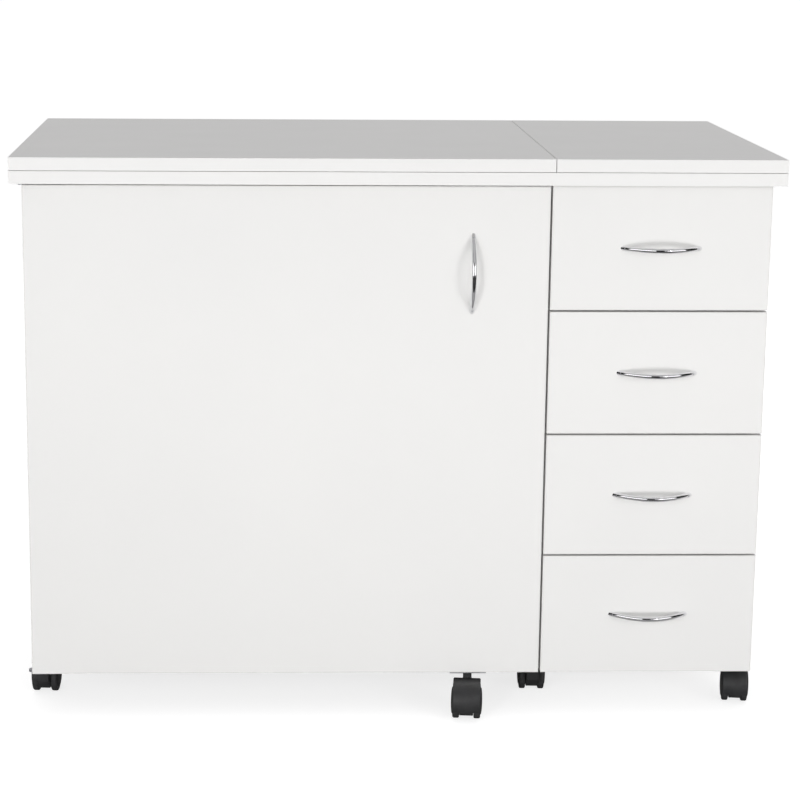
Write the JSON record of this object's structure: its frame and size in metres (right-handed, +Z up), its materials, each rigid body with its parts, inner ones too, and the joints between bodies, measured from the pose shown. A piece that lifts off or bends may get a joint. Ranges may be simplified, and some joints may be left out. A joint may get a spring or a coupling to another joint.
{
  "type": "sewing cabinet",
  "caption": "Closed white sewing cabinet on casters: folding split worktop over a machine lift, a wide door and a column of drawers with bow handles.",
  "frame": {"origin": "on the floor, under the middle of the cabinet's box", "axes": "+X to the right as seen from the front, +Y to the back, +Z up; door and drawers face -Y"},
  "size_m": [1.0264, 0.5873, 0.768],
  "materials": {
    "white_laminate": "satin white melamine board with matching edge band",
    "drawer_board": "plain white melamine board",
    "chrome": "polished",
    "zinc_steel": "zinc plated",
    "lift_steel": "grey powder coat",
    "black_enamel": "semi-gloss black",
    "caster_housing": "moulded nylon",
    "caster_wheel": "moulded nylon"
  },
  "bodies": {
    "cabinet": {"worktop_slab": "white_laminate", "left_side_panel": "white_laminate", "right_side_panel": "white_laminate", "centre_partition": "white_laminate", "knee_back_panel": "white_laminate", "drawer_back_panel": "white_laminate", "drawer_base_panel": "white_laminate", "knee_top_rail": "white_laminate", "caster_sockets": "zinc_steel", "door_pivot_brackets": "zinc_steel", "leaf_hinge_plates": "zinc_steel", "drawer_fixed_rails": "zinc_steel", "lift_rails": "lift_steel", "gas_spring_cylinder": "black_enamel"},
    "door": {"door_panel": "white_laminate", "door_handle": "chrome", "door_handle_screws": "zinc_steel", "door_pivot_plates": "zinc_steel", "door_caster_socket": "zinc_steel"},
    "drawer_1": {"drawer_1_front": "white_laminate", "drawer_1_box": "drawer_board", "drawer_1_handle": "chrome", "drawer_1_hardware": "zinc_steel"},
    "drawer_2": {"drawer_2_front": "white_laminate", "drawer_2_box": "drawer_board", "drawer_2_handle": "chrome", "drawer_2_hardware": "zinc_steel"},
    "drawer_3": {"drawer_3_front": "white_laminate", "drawer_3_box": "drawer_board", "drawer_3_handle": "chrome", "drawer_3_hardware": "zinc_steel"},
    "drawer_4": {"drawer_4_front": "white_laminate", "drawer_4_box": "drawer_board", "drawer_4_handle": "chrome", "drawer_4_hardware": "zinc_steel"},
    "left_leaf": {"left_leaf": "white_laminate", "left_leaf_hinges": "zinc_steel"},
    "right_leaf": {"right_leaf": "white_laminate", "right_leaf_hinges": "zinc_steel"},
    "lift": {"lift_platform": "white_laminate", "lift_left_arm": "lift_steel", "lift_right_arm": "lift_steel", "lift_crossbar": "lift_steel", "lift_lever_bracket": "lift_steel", "gas_spring_rod": "chrome"},
    "lift_lever": {"lift_lever": "black_enamel"},
    "caster_door_swivel": {"caster_door_swivel": "caster_housing"},
    "caster_door_wheels": {"caster_door_wheels": "caster_wheel"},
    "caster_left_front_swivel": {"caster_left_front_swivel": "caster_housing"},
    "caster_left_front_wheels": {"caster_left_front_wheels": "caster_wheel"},
    "caster_middle_front_swivel": {"caster_middle_front_swivel": "caster_housing"},
    "caster_middle_front_wheels": {"caster_middle_front_wheels": "caster_wheel"},
    "caster_right_front_swivel": {"caster_right_front_swivel": "caster_housing"},
    "caster_right_front_wheels": {"caster_right_front_wheels": "caster_wheel"},
    "caster_left_rear_swivel": {"caster_left_rear_swivel": "caster_housing"},
    "caster_left_rear_wheels": {"caster_left_rear_wheels": "caster_wheel"},
    "caster_middle_rear_swivel": {"caster_middle_rear_swivel": "caster_housing"},
    "caster_middle_rear_wheels": {"caster_middle_rear_wheels": "caster_wheel"},
    "caster_right_rear_swivel": {"caster_right_rear_swivel": "caster_housing"},
    "caster_right_rear_wheels": {"caster_right_rear_wheels": "caster_wheel"}
  },
  "joints": [
    {"name": "door_hinge", "type": "hinge", "parent": "cabinet", "child": "door", "pos_m": [-0.4957, -0.23075, 0.4], "axis": [0, 0, -1], "range_deg": [0, 180]},
    {"name": "drawer_1_slide", "type": "slide", "parent": "cabinet", "child": "drawer_1", "axis": [0, -1, 0], "range_m": [0, 0.34]},
    {"name": "drawer_2_slide", "type": "slide", "parent": "cabinet", "child": "drawer_2", "axis": [0, -1, 0], "range_m": [0, 0.34]},
    {"name": "drawer_3_slide", "type": "slide", "parent": "cabinet", "child": "drawer_3", "axis": [0, -1, 0], "range_m": [0, 0.34]},
    {"name": "drawer_4_slide", "type": "slide", "parent": "cabinet", "child": "drawer_4", "axis": [0, -1, 0], "range_m": [0, 0.34]},
    {"name": "left_leaf_hinge", "type": "hinge", "parent": "cabinet", "child": "left_leaf", "pos_m": [-0.5102, 0, 0.7507], "axis": [0, -1, 0], "range_deg": [0, 180]},
    {"name": "right_leaf_hinge", "type": "hinge", "parent": "cabinet", "child": "right_leaf", "pos_m": [0.5102, 0, 0.7507], "axis": [0, 1, 0], "range_deg": [0, 180]},
    {"name": "lift_slide", "type": "slide", "parent": "cabinet", "child": "lift", "axis": [0, 0, 1], "range_m": [0, 0.3]},
    {"name": "lift_lever_pivot", "type": "hinge", "parent": "lift", "child": "lift_lever", "pos_m": [0.007, -0.09725, 0.4174], "axis": [-1, 0, 0], "range_deg": [0, 9]},
    {"name": "caster_door_turn", "type": "hinge", "parent": "door", "child": "caster_door_swivel", "pos_m": [0.1032, -0.23975, 0.05], "axis": [0, 0, 1], "continuous": true},
    {"name": "caster_left_front_turn", "type": "hinge", "parent": "cabinet", "child": "caster_left_front_swivel", "pos_m": [-0.4877, -0.17325, 0.05], "axis": [0, 0, 1], "continuous": true},
    {"name": "caster_middle_front_turn", "type": "hinge", "parent": "cabinet", "child": "caster_middle_front_swivel", "pos_m": [0.2017, -0.17325, 0.05], "axis": [0, 0, 1], "continuous": true},
    {"name": "caster_right_front_turn", "type": "hinge", "parent": "cabinet", "child": "caster_right_front_swivel", "pos_m": [0.4877, -0.17325, 0.05], "axis": [0, 0, 1], "continuous": true},
    {"name": "caster_left_rear_turn", "type": "hinge", "parent": "cabinet", "child": "caster_left_rear_swivel", "pos_m": [-0.4877, 0.21475, 0.05], "axis": [0, 0, 1], "continuous": true},
    {"name": "caster_middle_rear_turn", "type": "hinge", "parent": "cabinet", "child": "caster_middle_rear_swivel", "pos_m": [0.2017, 0.21475, 0.05], "axis": [0, 0, 1], "continuous": true},
    {"name": "caster_right_rear_turn", "type": "hinge", "parent": "cabinet", "child": "caster_right_rear_swivel", "pos_m": [0.4877, 0.21475, 0.05], "axis": [0, 0, 1], "continuous": true},
    {"name": "caster_door_roll", "type": "hinge", "parent": "caster_door_swivel", "child": "caster_door_wheels", "pos_m": [0.10038, -0.2666, 0.024], "axis": [0.9945, -0.1045, 0], "continuous": true},
    {"name": "caster_left_front_roll", "type": "hinge", "parent": "caster_left_front_swivel", "child": "caster_left_front_wheels", "pos_m": [-0.48535, -0.14635, 0.024], "axis": [-0.9962, 0.0872, 0], "continuous": true},
    {"name": "caster_middle_front_roll", "type": "hinge", "parent": "caster_middle_front_swivel", "child": "caster_middle_front_wheels", "pos_m": [0.20311, -0.14629, 0.024], "axis": [-0.9986, 0.0523, 0], "continuous": true},
    {"name": "caster_right_front_roll", "type": "hinge", "parent": "caster_right_front_swivel", "child": "caster_right_front_wheels", "pos_m": [0.48394, -0.19999, 0.024], "axis": [0.9903, -0.1392, 0], "continuous": true},
    {"name": "caster_left_rear_roll", "type": "hinge", "parent": "caster_left_rear_swivel", "child": "caster_left_rear_wheels", "pos_m": [-0.48301, 0.24134, 0.024], "axis": [-0.9848, 0.1736, 0], "continuous": true},
    {"name": "caster_middle_rear_roll", "type": "hinge", "parent": "caster_middle_rear_swivel", "child": "caster_middle_rear_wheels", "pos_m": [0.19471, 0.24083, 0.024], "axis": [-0.9659, -0.2588, 0], "continuous": true},
    {"name": "caster_right_rear_roll", "type": "hinge", "parent": "caster_right_rear_swivel", "child": "caster_right_rear_wheels", "pos_m": [0.48582, 0.24168, 0.024], "axis": [-0.9976, -0.0698, 0], "continuous": true}
  ]
}
